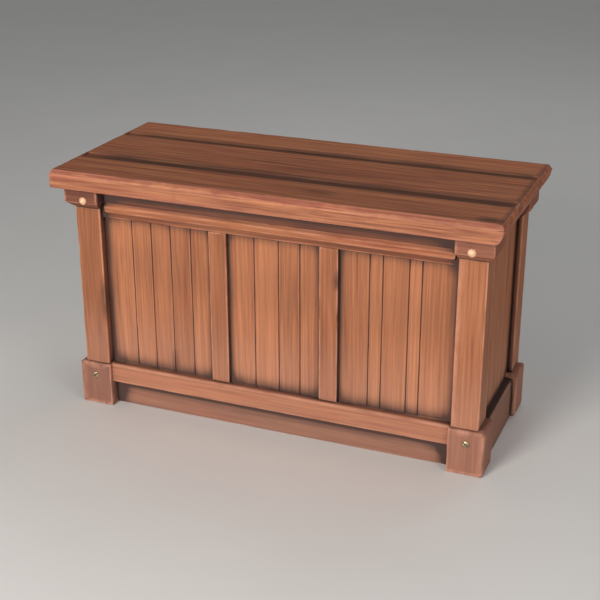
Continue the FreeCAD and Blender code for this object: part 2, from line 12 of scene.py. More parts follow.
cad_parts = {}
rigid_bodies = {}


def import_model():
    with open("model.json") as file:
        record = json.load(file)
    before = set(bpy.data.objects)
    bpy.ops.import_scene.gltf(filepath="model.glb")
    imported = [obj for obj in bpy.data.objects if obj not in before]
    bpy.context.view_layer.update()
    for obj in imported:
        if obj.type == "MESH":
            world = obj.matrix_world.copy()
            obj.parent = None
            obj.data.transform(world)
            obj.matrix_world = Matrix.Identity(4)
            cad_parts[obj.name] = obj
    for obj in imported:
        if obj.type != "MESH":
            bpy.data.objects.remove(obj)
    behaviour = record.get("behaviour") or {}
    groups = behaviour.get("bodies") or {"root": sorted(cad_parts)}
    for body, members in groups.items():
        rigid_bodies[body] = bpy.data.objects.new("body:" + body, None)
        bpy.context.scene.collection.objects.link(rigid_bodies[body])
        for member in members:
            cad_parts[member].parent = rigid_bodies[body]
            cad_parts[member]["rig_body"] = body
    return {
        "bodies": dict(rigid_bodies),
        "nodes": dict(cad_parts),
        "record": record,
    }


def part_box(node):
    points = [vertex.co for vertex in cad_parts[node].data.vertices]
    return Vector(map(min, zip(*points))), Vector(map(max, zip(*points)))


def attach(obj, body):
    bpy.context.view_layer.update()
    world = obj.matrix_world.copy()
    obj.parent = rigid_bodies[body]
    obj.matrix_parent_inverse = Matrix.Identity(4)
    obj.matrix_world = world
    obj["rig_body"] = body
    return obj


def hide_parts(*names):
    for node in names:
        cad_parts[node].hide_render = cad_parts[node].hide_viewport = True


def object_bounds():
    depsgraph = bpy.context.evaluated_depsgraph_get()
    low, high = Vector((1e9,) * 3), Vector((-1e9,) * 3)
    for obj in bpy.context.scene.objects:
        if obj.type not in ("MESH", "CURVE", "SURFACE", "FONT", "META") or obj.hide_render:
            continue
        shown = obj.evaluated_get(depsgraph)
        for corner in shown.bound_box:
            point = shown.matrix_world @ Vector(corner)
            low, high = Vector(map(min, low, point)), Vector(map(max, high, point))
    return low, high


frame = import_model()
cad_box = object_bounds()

# A lidded wooden chest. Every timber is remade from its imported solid: welded, its arrises rounded,
# cut into a grid, and worn by seeded noise, always inwards, so that it stays inside the solid.
# Metres throughout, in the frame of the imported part: +Z up, the front faces -Y.

SEED = 827

# ---- timbers ----

Role = namedtuple("Role", "ending finish arris nick hollow dust dirt settled")

# Radius of an arris, deepest nick in it and deepest hollow in a face; then how strongly painted
# shade shows in shaded places, how strongly near-black painted shade shows in nooks, and how much
# even painted shade lies all over. The first ending that fits a name counts.
ROLES = [Role(*row) for row in (
    ("_plank", "lid_wood", 0.0013, 0.0010, 0.0004, 0.6, 0.3, 0.0),
    ("_spline", "groove_wood", 0.0010, 0.0006, 0.0005, 0.5, 0.3, 0.0),
    ("_batten", "inner_wood", 0.0012, 0.0008, 0.0004, 1.0, 1.0, 0.0),
    ("_post", "frame_wood", 0.0020, 0.0009, 0.0004, 1.4, 1.1, 0.0),
    ("_capital", "block_wood", 0.0012, 0.0007, 0.0003, 1.8, 0.9, 0.0),
    ("_foot", "block_wood", 0.0018, 0.0009, 0.0004, 0.7, 0.3, 0.0),
    ("_muntin", "frame_wood", 0.0016, 0.0008, 0.0004, 1.4, 1.1, 0.0),
    ("_moulding", "rail_wood", 0.0010, 0.0007, 0.0003, 1.8, 0.7, 0.0),
    ("_bottom_rail", "rail_wood", 0.0015, 0.0009, 0.0004, 1.0, 1.0, 0.0),
    # The front top rail sits under the lid's overhang and takes strong painted shade.
    ("front_top_rail", "rail_wood", 0.0012, 0.0007, 0.0003, 4.2, 0.8, 0.0),
    ("_rail", "rail_wood", 0.0012, 0.0007, 0.0003, 1.4, 0.8, 0.0),
    # The base board gets even painted shade, for the shade under the bottom rail.
    ("_base_board", "rail_wood", 0.0016, 0.0010, 0.0004, 5.0, 0.7, 0.34),
    ("panel_boards", "panel_wood", 0.0005, 0.0006, 0.0004, 1.9, 0.2, 0.0),
    ("side_boards", "panel_wood", 0.0005, 0.0006, 0.0004, 1.9, 0.4, 0.0),
    ("floor_boards", "inner_wood", 0.0008, 0.0006, 0.0004, 1.0, 1.0, 0.0),
    ("_ledger", "inner_wood", 0.0010, 0.0006, 0.0003, 1.0, 1.0, 0.0),
    ("_cleat", "inner_wood", 0.0010, 0.0006, 0.0003, 1.0, 1.0, 0.0),
)]

WELD = 1e-5
FLAT_DEG = 1.0
ARRIS_DEG = 18.0
ARRIS_LENGTH = 0.012
ARRIS_FACE = 7e-5
ARRIS_SEGMENTS = 3
BAND = 0.0022
STEP_ALONG = 0.014
STEP_ACROSS = 0.006
CLOSEST_CUTS = 0.0012
HOLLOW_SCALE = 11.0
RIPPLE_SCALE = 55.0
RIPPLE_SHARE = 0.3
NICK_SCALE = 26.0
CHIP_SCALE = 78.0
CHIP_SHARE = 0.6
FACES_ACROSS = 0.9
SKIN = 0.0001
SHARP_DEG = 40.0
SHIFT_WEAR = 9
SHIFT_GRAIN = 5
END_FACES = (0.5, 0.9)
LENGTHWISE = np.array([1.1, 1.0, 1.0])  # the grain of a nearly square block runs along X

# ---- painted shade: how shut in a point is, by rays of limited length ----

RAYS = 24
SHADE_REACH = 0.060
NOOK_REACH = 0.012
RAY_START = 0.0012
OTHER_BODY_SHARE = 0.9
SOFTENING = 0.3
SCREW_RAY_START = 0.0003
SCREW_SLOT_SHADE = 1.5

# ---- dark marks: the lid's top and rim in painted shade, its darker grooves and right end, tones, and smudges and painted shade listed one by one ----

LID_BEVEL_OUT = 0.006
RIM_WIDTH = 0.014
RIM_DARK_REACH = 0.011
GROOVE_BLEED = 0.010
GROOVE_FADE = 0.09
GROOVE_END = (0.008, 0.024)
GROOVE_LEAST = 0.35
GROOVE_DARK = 0.66
RIM_DARK = 0.70
RIM_START = 0.002
RIM_FULL = 0.4
LID_DARK_DEPTH = (0.014, 0.012)
DARK_MARK_CORE = 0.25
SEAM_WIDTH = 0.008
DUSTY_BELOW = (0.12, 0.30)
# Tones set per node in place of a random one, mostly painted shade and light: the left-hand parts
# darker, the right post and capital lighter, and the front top rail darker under the lid's overhang.
NODE_TONES_AND_SHADE = {"front_left_post": -1.4, "front_left_foot": -4.2, "front_left_capital": -2.6,
         "front_left_muntin": -0.8, "front_right_post": 0.6, "front_right_foot": -1.0,
         "front_right_capital": 0.8, "front_top_rail": -3.2}
DARK_MARK_ROWS = (
    # node, place in its box (0 to 1 along X, Y, Z), reach along X, Y, Z, strength
    ("lid_front_plank", (0.60, 0.55, 1.0), (0.055, 0.022, 0.02), 0.40),
    ("lid_front_plank", (0.965, 0.22, 1.0), (0.040, 0.020, 0.01), 0.75),
    # Painted shade down the left post's inner edge.
    ("front_left_post", (0.95, 0.0, 0.45), (0.016, 0.02, 0.070), 0.60),
    ("front_right_muntin", (0.95, 0.0, 0.80), (0.012, 0.02, 0.030), 0.65),
    ("front_left_panel_boards", (0.62, 0.0, 0.09), (0.014, 0.02, 0.045), 0.45),
    ("front_left_panel_boards", (0.17, 0.0, 0.74), (0.020, 0.02, 0.030), 0.14),
    # Painted shade: a wide darker band across the upper part of each front panel.
    ("front_left_panel_boards", (0.5, 0.0, 0.68), (0.190, 0.02, 0.085), 0.10),
    ("front_middle_panel_boards", (0.5, 0.0, 0.64), (0.190, 0.02, 0.085), 0.10),
    ("front_right_panel_boards", (0.5, 0.0, 0.60), (0.190, 0.02, 0.085), 0.10),
)


def role_of(name):
    """The timber's role, or None for a piece of metal."""
    return next((role for role in ROLES if name.endswith(role.ending)), None)


def sharp_edges(bm):
    """Long convex edges between two faces that are both more than slivers."""
    found = []
    for edge in bm.edges:
        if len(edge.link_faces) != 2 or edge.calc_length() < ARRIS_LENGTH:
            continue
        small = min(face.calc_area() for face in edge.link_faces) < ARRIS_FACE
        if not small and edge.calc_face_angle_signed() > math.radians(ARRIS_DEG):
            found.append(edge)
    return found


def cad_solids(node):
    """The node's separate solids as bmeshes, with doubled points welded and flat facets joined."""
    whole = bmesh.new()
    whole.from_mesh(node.data)
    for layer in list(whole.loops.layers.uv):
        whole.loops.layers.uv.remove(layer)
    bmesh.ops.remove_doubles(whole, verts=whole.verts, dist=WELD)
    bmesh.ops.dissolve_limit(whole, angle_limit=math.radians(FLAT_DEG), verts=whole.verts,
                             edges=whole.edges)
    bmesh.ops.recalc_face_normals(whole, faces=whole.faces)
    whole.verts.index_update()
    part = {}
    for start in whole.verts:
        if start.index in part:
            continue
        number, queue = len(set(part.values())), [start]
        part[start.index] = number
        while queue:
            for edge in queue.pop().link_edges:
                for vert in edge.verts:
                    if vert.index not in part:
                        part[vert.index] = number
                        queue.append(vert)
    solids = []
    for number in sorted(set(part.values())):
        one = whole.copy()
        one.verts.ensure_lookup_table()
        others = [vert for vert in one.verts if part[vert.index] != number]
        bmesh.ops.delete(one, geom=others, context="VERTS")
        solids.append(one)
    whole.free()
    return solids


def extent(bm):
    points = np.array([vert.co for vert in bm.verts])
    return points.min(0), points.max(0)


def cut_places(bm, axis, step, arris):
    """Where to cut across an axis: close beside each arris, and then evenly."""
    low, high = (corner[axis] for corner in extent(bm))
    levels = sorted({round(vert.co[axis], 5) for edge in sharp_edges(bm) for vert in edge.verts})
    beside = arris + BAND
    wanted = [level + side * beside for level in levels for side in (-1, 1)]
    wanted += [level + side * 3 * beside for level in (low, high) for side in (-1, 1)]
    count = max(1, round((high - low) / step))
    wanted += [low + (high - low) * k / count for k in range(1, count)]
    places = []
    for place in wanted:
        inside = low + CLOSEST_CUTS < place < high - CLOSEST_CUTS
        near_level = any(abs(place - level) < CLOSEST_CUTS + arris for level in levels)
        if inside and not near_level and all(abs(place - p) > CLOSEST_CUTS for p in places):
            places.append(place)
    return sorted(places)


def rounded(bm, arris):
    """Rounds the long arrises and marks the faces made there in the layer "bevel"."""
    mark = bm.faces.layers.int.new("bevel")
    made = bmesh.ops.bevel(bm, geom=sharp_edges(bm), offset=arris, offset_type="OFFSET",
                           segments=ARRIS_SEGMENTS, profile=0.5, affect="EDGES",
                           clamp_overlap=False)
    for face in made["faces"]:
        face[mark] = 1


def gridded(bm, cuts):
    for axis in range(3):
        normal = Vector([float(k == axis) for k in range(3)])
        for place in cuts[axis]:
            geometry = list(bm.verts) + list(bm.edges) + list(bm.faces)
            bmesh.ops.bisect_plane(bm, geom=geometry, dist=WELD, plane_co=normal * place,
                                   plane_no=normal)
    bmesh.ops.dissolve_degenerate(bm, dist=WELD, edges=bm.edges)


def worn(bm, role, offset, across):
    """Moves every point inwards along its normal: shallow hollows, ripples, and nicks in arrises.
    Sides that face across the board only keep the skin, so that the joints stay narrow."""
    low, high = extent(bm)
    bevel = bm.faces.layers.int["bevel"]
    mark = bm.verts.layers.float.new("arris")
    bm.normal_update()
    moves = []
    for vert in bm.verts:
        vert[mark] = float(any(face[bevel] for face in vert.link_faces))
        place = vert.co + offset
        dish = 0.5 + 0.5 * noise.noise(place * HOLLOW_SCALE)
        ripple = 0.5 + 0.5 * noise.noise(place * RIPPLE_SCALE)
        chips = noise.noise(place * NICK_SCALE) + CHIP_SHARE * noise.noise(place * CHIP_SCALE)
        depth = SKIN + role.nick * vert[mark] * max(0.0, chips)
        if abs(vert.normal[across]) < FACES_ACROSS:
            depth += role.hollow * ((1 - RIPPLE_SHARE) * dish + RIPPLE_SHARE * ripple)
        moves.append((vert, vert.normal * depth))
    for vert, move in moves:
        vert.co = np.clip(vert.co - move, low + SKIN, high - SKIN)


def smooth_faces(mesh):
    for polygon in mesh.polygons:
        polygon.use_smooth = True
    mesh.set_sharp_from_angle(angle=math.radians(SHARP_DEG))


# ---- painted shade rays ----

class Body:
    """A search tree of one body's packed surfaces, and their box."""

    def __init__(self, names):
        points, faces = [], []
        for name in names:
            mesh = frame["nodes"][name].data
            base = len(points)
            points += [vert.co.copy() for vert in mesh.vertices]
            faces += [[base + k for k in polygon.vertices] for polygon in mesh.polygons]
        self.tree = BVHTree.FromPolygons(points, faces)
        low, high = np.min(points, axis=0) - SHADE_REACH, np.max(points, axis=0) + SHADE_REACH
        self.ranges = list(zip(low.tolist(), high.tolist()))

    def near(self, point):
        return all(low <= value <= high for value, (low, high) in zip(point, self.ranges))


def ray_directions(count):
    """Cosine-weighted directions about +Z, spread by the golden angle."""
    golden = math.pi * (3 - math.sqrt(5))
    for k in range(count):
        sine = math.sqrt((k + 0.5) / count)
        yield Vector((sine * math.cos(k * golden), sine * math.sin(k * golden),
                      math.sqrt(1 - sine * sine)))


def clear_way(tree, start, ray):
    """How far a ray runs before it enters a solid. It passes any surface that it leaves by."""
    gone = 0.0
    while gone < SHADE_REACH:
        hit, normal, _, distance = tree.ray_cast(start + ray * gone, ray, SHADE_REACH - gone)
        if hit is None:
            break
        gone += distance
        if normal.dot(ray) < 0:
            return gone
        gone += RAY_START
    return SHADE_REACH


def shut_in(bodies, point, normal, gap=RAY_START):
    """How much stands round a point within SHADE_REACH, and within NOOK_REACH, from 0 to 1."""
    turn = normal.to_track_quat("Z", "Y")
    start = point + normal * gap
    shade = nook = 0.0
    for direction in DIRECTIONS:
        ray = turn @ direction
        most_shade = most_nook = 0.0
        for body, share in bodies:
            distance = clear_way(body.tree, start, ray)
            most_shade = max(most_shade, share * (1 - (distance / SHADE_REACH) ** 2))
            most_nook = max(most_nook, share * (1 - distance / NOOK_REACH))
        shade += most_shade
        nook += most_nook
    return shade / RAYS, nook / RAYS


DIRECTIONS = list(ray_directions(RAYS))
BODIES = {body: Body([n for n, o in frame["nodes"].items() if o["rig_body"] == body])
          for body in frame["bodies"]}


def point_floats(mesh, name, values):
    mesh.attributes.new(name, "FLOAT", "POINT").data.foreach_set("value", values)


def calmed(mesh, values):
    """Evens out single points that stand out from all their neighbours, and softens the rest."""
    ends = np.zeros(2 * len(mesh.edges), np.int64)
    mesh.edges.foreach_get("vertices", ends)
    a, b = ends[0::2], ends[1::2]
    values = np.array(values)
    highest = np.zeros(len(values))
    np.maximum.at(highest, a, values[b])
    np.maximum.at(highest, b, values[a])
    values = np.minimum(values, highest)
    total, count = np.zeros(len(values)), np.zeros(len(values))
    for one, other in ((a, b), (b, a)):
        np.add.at(total, one, values[other])
        np.add.at(count, one, 1)
    return (1 - SOFTENING) * values + SOFTENING * total / np.maximum(count, 1)


def bodies_round(own_body, point, normal):
    """The bodies that shade a point. A face that another body rests on is kept clean by it."""
    yield BODIES[own_body], 1.0
    for name, body in BODIES.items():
        if name != own_body and body.near(point):
            if body.tree.ray_cast(point, normal, NOOK_REACH)[0] is None:
                yield body, OTHER_BODY_SHARE


# Bakes painted shade into the points: the shade attribute from the long rays, the nook attribute
# from the short ones.
def painted_occlusion(mesh, own_body, dust, dirt):
    results = []
    for vert in mesh.vertices:
        bodies = list(bodies_round(own_body, vert.co, vert.normal))
        results.append(shut_in(bodies, vert.co, vert.normal))
    point_floats(mesh, "shade", dust * calmed(mesh, [shade for shade, _ in results]))
    point_floats(mesh, "nook", dirt * calmed(mesh, [nook for _, nook in results]))


def slot_shade(mesh, own_body):
    """Painted shade on whole faces of the screws, so that their slots are dark right up to the lips.
    """
    nooks = []
    for face in mesh.polygons:
        bodies = list(bodies_round(own_body, face.center, face.normal))
        nooks.append(SCREW_SLOT_SHADE * shut_in(bodies, face.center, face.normal, SCREW_RAY_START)[1])
    mesh.attributes.new("nook", "FLOAT", "FACE").data.foreach_set("value", nooks)


# ---- dark marks: smudges, painted shade, and the lid's darker top and grooves ----

def smooth(value, low, high):
    t = np.clip((value - low) / (high - low), 0.0, 1.0)
    return t * t * (3 - 2 * t)


def dark_mark_places():
    for node, place, reach, strength in DARK_MARK_ROWS:
        low, high = (np.array(corner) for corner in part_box(node))
        yield low + (high - low) * np.array(place), np.array(reach), strength


def dark_marks(points):
    """Soft dark marks, smudges and painted shade, each an ellipsoid that fades out from its middle.
    """
    total = np.zeros(len(points))
    for centre, reach, strength in dark_mark_places():
        distance = np.linalg.norm((points - centre) / reach, axis=1)
        total = np.maximum(total, strength * (1 - smooth(distance, DARK_MARK_CORE, 1.0)))
    return total


def lid_box():
    planks = [name for name in frame["nodes"] if name.endswith("_plank")]
    boxes = [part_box(name) for name in planks]
    return np.min([low for low, _ in boxes], axis=0), np.max([high for _, high in boxes], axis=0)


def lid_top_shade(points):
    """Where the lid's top is darkened as painted shade: 0 outside the top face's rim, 0.5 on it and
    1 well inside it; fades to 0 at the underside.
    """
    low, high = lid_box()
    from_edge = np.minimum(points[:, :2] - low[:2], high[:2] - points[:, :2]).min(axis=1)
    inside = from_edge - LID_BEVEL_OUT
    above = smooth(points[:, 2], low[2], high[2])
    return above * np.clip(0.5 + inside / RIM_WIDTH, 0.0, 1.0)


def lid_darkening(points):
    """Darker in and beside the sunk grooves, fading towards the left end, and darker along the right
    end.
    """
    low, high = lid_box()
    on_top = smooth(points[:, 2], *(high[2] - depth for depth in LID_DARK_DEPTH))
    total = np.zeros(len(points))
    for name in ("lid_front_spline", "lid_back_spline"):
        groove_low, groove_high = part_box(name)
        outside = np.maximum(groove_low[1] - points[:, 1], points[:, 1] - groove_high[1])
        across = 1 - smooth(outside, 0.0, GROOVE_BLEED)
        along = smooth(points[:, 0] - low[0], 0.0, GROOVE_FADE)
        along = GROOVE_LEAST + (1 - GROOVE_LEAST) * along
        along *= smooth(high[0] - points[:, 0], *GROOVE_END)
        total = np.maximum(total, across * along)
    from_right = high[0] - LID_BEVEL_OUT - points[:, 0]
    rim = smooth(from_right, 0.0, RIM_START)
    rim *= 1 - smooth(from_right, RIM_FULL * RIM_DARK_REACH, RIM_DARK_REACH)
    return on_top * np.maximum(GROOVE_DARK * total, RIM_DARK * rim)


# ---- pieces ----

def timber(name):
    """One node's boards, remade as one piece that stands for it."""
    role = role_of(name)
    draw = random.Random(f"{SEED} {name}")
    node = frame["nodes"][name]
    joined = bmesh.new()
    grain, tone, seam, end = [], [], [], []
    for solid in cad_solids(node):
        low, high = extent(solid)
        size = (high - low) * LENGTHWISE
        along, across, through = order = sorted(range(3), key=lambda axis: -size[axis])
        steps = {along: STEP_ALONG, across: STEP_ACROSS, through: STEP_ACROSS}
        cuts = [cut_places(solid, axis, steps[axis], role.arris) for axis in range(3)]
        offset = Vector([draw.uniform(-SHIFT_WEAR, SHIFT_WEAR) for _ in range(3)])
        rounded(solid, role.arris)
        gridded(solid, cuts)
        worn(solid, role, offset, across)
        shift = [draw.uniform(-SHIFT_GRAIN, SHIFT_GRAIN) for _ in range(3)]
        board_tone = NODE_TONES_AND_SHADE.get(name, draw.uniform(-1, 1))
        scratch = bpy.data.meshes.new("scratch")
        solid.to_mesh(scratch)
        joined.from_mesh(scratch)
        grain += [[vert.co[axis] + shift[k] for k, axis in enumerate(order)]
                  for vert in scratch.vertices]
        tone += [board_tone] * len(scratch.vertices)
        end += [abs(vert.normal[along]) for vert in scratch.vertices]
        seam += [min(vert.co[across] - low[across], high[across] - vert.co[across])
                 for vert in scratch.vertices]
        bpy.data.meshes.remove(scratch)
        solid.free()
    mesh = bpy.data.meshes.new(name + "_timber")
    joined.to_mesh(mesh)
    joined.free()
    mesh.attributes.new("grain", "FLOAT_VECTOR", "POINT").data.foreach_set(
        "vector", np.array(grain, np.float32).ravel())
    point_floats(mesh, "tone", tone)
    point_floats(mesh, "end", smooth(np.array(end), *END_FACES))
    if name.endswith("boards"):
        point_floats(mesh, "seam", 1 - smooth(np.array(seam), 0.0, SEAM_WIDTH))
    smooth_faces(mesh)
    painted_occlusion(mesh, node["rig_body"], role.dust, role.dirt)
    points = np.array([vert.co for vert in mesh.vertices])
    point_floats(mesh, "settled", [role.settled] * len(points))
    stain_and_shade = dark_marks(points)
    if name.startswith("lid_") and not name.endswith("_batten"):
        stain_and_shade = np.maximum(stain_and_shade, lid_darkening(points))
        point_floats(mesh, "top", lid_top_shade(points))
    point_floats(mesh, "stain_and_shade", stain_and_shade)
    above_floor = points[:, 2] - cad_box[0][2]
    point_floats(mesh, "near_floor", 1 - smooth(above_floor, *DUSTY_BELOW))
    stand_for(name, mesh, role.finish)


def fitting(name):
    """A metal node's own shape again, with its corners marked for painted shade."""
    node = frame["nodes"][name]
    shape = bmesh.new()
    shape.from_mesh(node.data)
    bmesh.ops.remove_doubles(shape, verts=shape.verts, dist=WELD)
    mesh = bpy.data.meshes.new(name + "_metal")
    shape.to_mesh(mesh)
    shape.free()
    smooth_faces(mesh)
    if name.endswith("_screws"):
        slot_shade(mesh, node["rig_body"])
    else:
        painted_occlusion(mesh, node["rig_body"], 1.0, 1.0)
    stand_for(name, mesh, SLOTS[name])


def stand_for(name, mesh, finish):
    """Puts the mesh in the scene in place of the node, riding on the same body."""
    mesh.materials.append(MATERIALS[finish])
    piece = bpy.data.objects.new(mesh.name, mesh)
    bpy.context.scene.collection.objects.link(piece)
    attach(piece, frame["nodes"][name]["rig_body"])
    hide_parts(name)


# ---- materials ----

def srgb(red, green, blue):
    """An 8-bit colour as the linear RGBA that the shaders take."""
    def linear(value):
        value /= 255
        return value / 12.92 if value <= 0.04045 else ((value + 0.055) / 1.055) ** 2.4
    return (linear(red), linear(green), linear(blue), 1.0)


class Shader:
    """A material's node tree. Inputs are numbers, colours or other nodes' outputs."""

    def __init__(self, name):
        self.material = bpy.data.materials.new(name)
        self.material.use_nodes = True
        self.tree = self.material.node_tree
        self.surface = self.tree.nodes["Principled BSDF"]

    def put(self, node, key, value):
        if isinstance(value, bpy.types.NodeSocket):
            self.tree.links.new(value, node.inputs[key])
        else:
            node.inputs[key].default_value = value

    def add(self, kind, inputs=(), **settings):
        node = self.tree.nodes.new("ShaderNode" + kind)
        for key, value in settings.items():
            setattr(node, key, value)
        for key, value in dict(inputs).items():
            self.put(node, key, value)
        return node

    def math(self, operation, a, b=0.0, c=0.0, clamp=False):
        return self.add("Math", {0: a, 1: b, 2: c}, operation=operation, use_clamp=clamp).outputs[0]

    def about_half(self, value, gain, base):
        """The base, moved up or down as the value lies over or under a half."""
        return self.math("MULTIPLY_ADD", self.math("SUBTRACT", value, 0.5), gain, base)

    def mix(self, factor, a, b, blend="MIX"):
        node = self.add("Mix", {0: factor, 6: a, 7: b}, data_type="RGBA", blend_type=blend)
        return node.outputs[2]

    def attribute(self, name, output="Fac"):
        return self.add("Attribute", attribute_name=name).outputs[output]

    def stretched(self, vector, x, y, z):
        return self.add("VectorMath", {0: vector, 1: (x, y, z)}, operation="MULTIPLY").outputs[0]

    def noise(self, vector, scale=1.0, detail=3.0, roughness=0.55):
        node = self.add("TexNoise", {"Vector": vector, "Scale": scale, "Detail": detail,
                                     "Roughness": roughness})
        return node.outputs["Fac"]

    def band(self, value, low, high, to_low=0.0, to_high=1.0, curve="LINEAR"):
        node = self.add("MapRange", {0: value, 1: low, 2: high, 3: to_low, 4: to_high},
                        interpolation_type=curve)
        return node.outputs[0]

    def finish(self, **inputs):
        for key, value in inputs.items():
            self.put(self.surface, key.replace("_", " "), value)
        return self.material


# How often each figure repeats in a metre: along the grain, across it, and into it.
DRIFT = (1.2, 3.0, 3.0)
RINGS = (1.2, 50.0, 50.0)
STREAKS = (4.0, 190.0, 190.0)
FIBRES = (14.0, 620.0, 620.0)
PORES = (34.0, 1100.0, 1100.0)
HUES = (3.0, 60.0, 60.0)
CLOUDS = (2.5, 7.0, 7.0)
RUB_HIGHLIGHT_SCALE = (16.0, 50.0, 50.0)
WANDER = (16.0, 26.0, 26.0)
PATCHES = (9.0, 30.0, 30.0)

# How much of the figure comes from rings, streaks, fibres and the board's own tone.
RING_SHARE, STREAK_SHARE, FIBRE_SHARE, TONE_SHARE = 0.40, 1.20, 0.40, 0.07
TONE_BRIGHTNESS = 0.06
END_SHARE = 0.8
SEAM_SHARE = 0.10
FLOOR_DUST_SHARE = 0.25

# Bands: from low to high, a value is turned into what the last two numbers say.
PORE_BAND = (0.60, 0.74)
RUB_HIGHLIGHT_BAND = (0.34, 0.62)
UNEVEN_BAND = (0.25, 0.75, 0.82, 1.18)
PAINTED_SHADE_BAND = (0.02, 0.80, 0.0, 0.90)
CREVICE_SHADE_BAND = (0.10, 0.42, 0.0, 0.95)
TOP_SHADE_BAND = (0.54, 0.66)
RIM_SHADE_BAND = (0.10, 0.36, 0.0, 0.8)
RIM_WANDER = 1.3
TARNISH_BAND = (0.40, 0.66)
METAL_CREVICE_SHADE_BAND = (0.15, 0.50, 0.0, 0.95)
SCRATCHES = (900.0, 160.0, 240.0)


def wood(name, pale, middle, deep, rosy=0.35, streak=1.0, rub_highlight_share=0.8, rubbed_highlight_to=None, top_shade_tint=None):
    """Oiled wood. Along the grain run rings, streaks, fibres and pores, and its hue drifts; grey
    painted shade lies in shaded places and near-black painted shade in nooks, arrises are worn pale
    with a painted highlight, and a top face can be darkened as painted shade."""
    s = Shader(name)
    grain = s.attribute("grain", "Vector")

    drift = s.noise(s.stretched(grain, *DRIFT), detail=1.0)
    waver = s.add("VectorMath", {0: grain, 1: s.add("CombineXYZ", {
        "Y": s.math("MULTIPLY", drift, 0.030), "Z": s.math("MULTIPLY", drift, 0.018)}).outputs[0]},
        operation="ADD").outputs[0]
    rings = s.noise(s.stretched(waver, *RINGS), detail=2.0, roughness=0.5)
    streaks = s.noise(s.stretched(waver, *STREAKS), detail=2.0, roughness=0.6)
    fibres = s.noise(s.stretched(waver, *FIBRES), detail=3.0, roughness=0.6)
    pores = s.band(s.noise(s.stretched(waver, *PORES), detail=1.0), *PORE_BAND)

    figure = s.about_half(rings, RING_SHARE, 0.5)
    figure = s.about_half(streaks, STREAK_SHARE * streak, figure)
    figure = s.about_half(fibres, FIBRE_SHARE * streak, figure)
    figure = s.math("MULTIPLY_ADD", s.attribute("tone"), TONE_SHARE, figure, clamp=True)
    ramp = s.add("ValToRGB", {"Fac": figure})
    stops = ramp.color_ramp.elements
    stops[0].position, stops[0].color = 0.14, deep
    stops[1].position, stops[1].color = 0.86, pale
    stops.new(0.5).color = middle
    brightness = s.math("MULTIPLY_ADD", s.attribute("tone"), TONE_BRIGHTNESS, 1.0)
    colour = s.add("VectorMath", {0: ramp.outputs["Color"], "Scale": brightness},
                   operation="SCALE").outputs[0]
    end_grain = s.math("MULTIPLY", s.attribute("end"), END_SHARE)
    colour = s.mix(end_grain, colour, s.mix(1.0, colour, END_TINT, "MULTIPLY"))

    hue = s.noise(s.stretched(grain, *HUES), detail=1.0, roughness=0.5)
    colour = s.mix(s.band(hue, 0.48, 0.68, 0.0, rosy), colour, s.mix(1.0, colour, ROSE, "MULTIPLY"))
    cloud = s.noise(s.stretched(grain, *CLOUDS), detail=1.0, roughness=0.4)
    colour = s.mix(s.band(cloud, 0.50, 0.80, 0.0, 0.24), colour, deep)
    colour = s.mix(s.band(cloud, 0.50, 0.20, 0.0, 0.30), colour, pale)
    colour = s.mix(s.math("MULTIPLY", pores, 0.22), colour, deep)

    # Arrises worn pale, which also serves as a painted highlight along them.
    edge = s.attribute("arris")
    rub_highlight_noise = s.noise(s.stretched(grain, *RUB_HIGHLIGHT_SCALE), detail=3.0)
    rubbed_highlight = s.math("MULTIPLY", edge, s.band(rub_highlight_noise, *RUB_HIGHLIGHT_BAND), clamp=True)

    # Painted shade: the lid's top is darkened by the tint, and its bevelled rim by a darker rose.
    if top_shade_tint:
        wander = s.noise(s.stretched(grain, *WANDER), detail=3.0, roughness=0.6)
        inside = s.about_half(wander, RIM_WANDER, s.attribute("top"))
        on_top = s.band(inside, *TOP_SHADE_BAND)
        off_top = s.math("SUBTRACT", 1.0, s.math("MAXIMUM", on_top, s.attribute("end")))
        rim_shade = s.math("MULTIPLY", s.band(inside, *RIM_SHADE_BAND), off_top)
        colour = s.mix(rim_shade, colour, RIM_SHADE_COLOUR)
        colour = s.mix(on_top, colour, s.mix(1.0, colour, top_shade_tint, "MULTIPLY"))
        kept = s.math("SUBTRACT", 1.0, s.math("MULTIPLY", on_top, 0.8))
        rubbed_highlight = s.math("MULTIPLY", rubbed_highlight, kept)
    colour = s.mix(s.math("MULTIPLY", rubbed_highlight, rub_highlight_share), colour, rubbed_highlight_to or RUBBED_HIGHLIGHT)

    patch = s.noise(s.stretched(grain, *PATCHES), detail=3.0)
    uneven = s.band(patch, *UNEVEN_BAND)
    shade = s.math("MULTIPLY_ADD", s.attribute("seam"), SEAM_SHARE, s.attribute("shade"))
    # Painted shade: grey where the rays find the point shut in, with the halo beside board joints
    # added.
    dust = s.band(s.math("MULTIPLY", shade, uneven), *PAINTED_SHADE_BAND, curve="SMOOTHSTEP")
    # Near-black painted shade in nooks and crevices.
    dirt = s.band(s.math("MULTIPLY", s.attribute("nook"), uneven), *CREVICE_SHADE_BAND)
    stain_and_shade = s.math("MULTIPLY", s.attribute("stain_and_shade"), uneven, clamp=True)
    floor_dust = s.math("MULTIPLY", s.attribute("near_floor"), uneven)
    colour = s.mix(s.math("MULTIPLY", floor_dust, FLOOR_DUST_SHARE, clamp=True), colour,
                   FLOOR_DUST)
    # Even painted shade, cool grey, over a piece that sits in shade.
    colour = s.mix(s.math("MULTIPLY", s.attribute("settled"), uneven), colour, EVEN_SHADE_COLOUR)
    colour = s.mix(dust, colour, PAINTED_SHADE_COLOUR)
    # Smudges, painted shade, and the lid's darker grooves and right end.
    colour = s.mix(stain_and_shade, colour, STAIN_AND_SHADE_COLOUR)
    colour = s.mix(dirt, colour, CREVICE_SHADE_COLOUR)

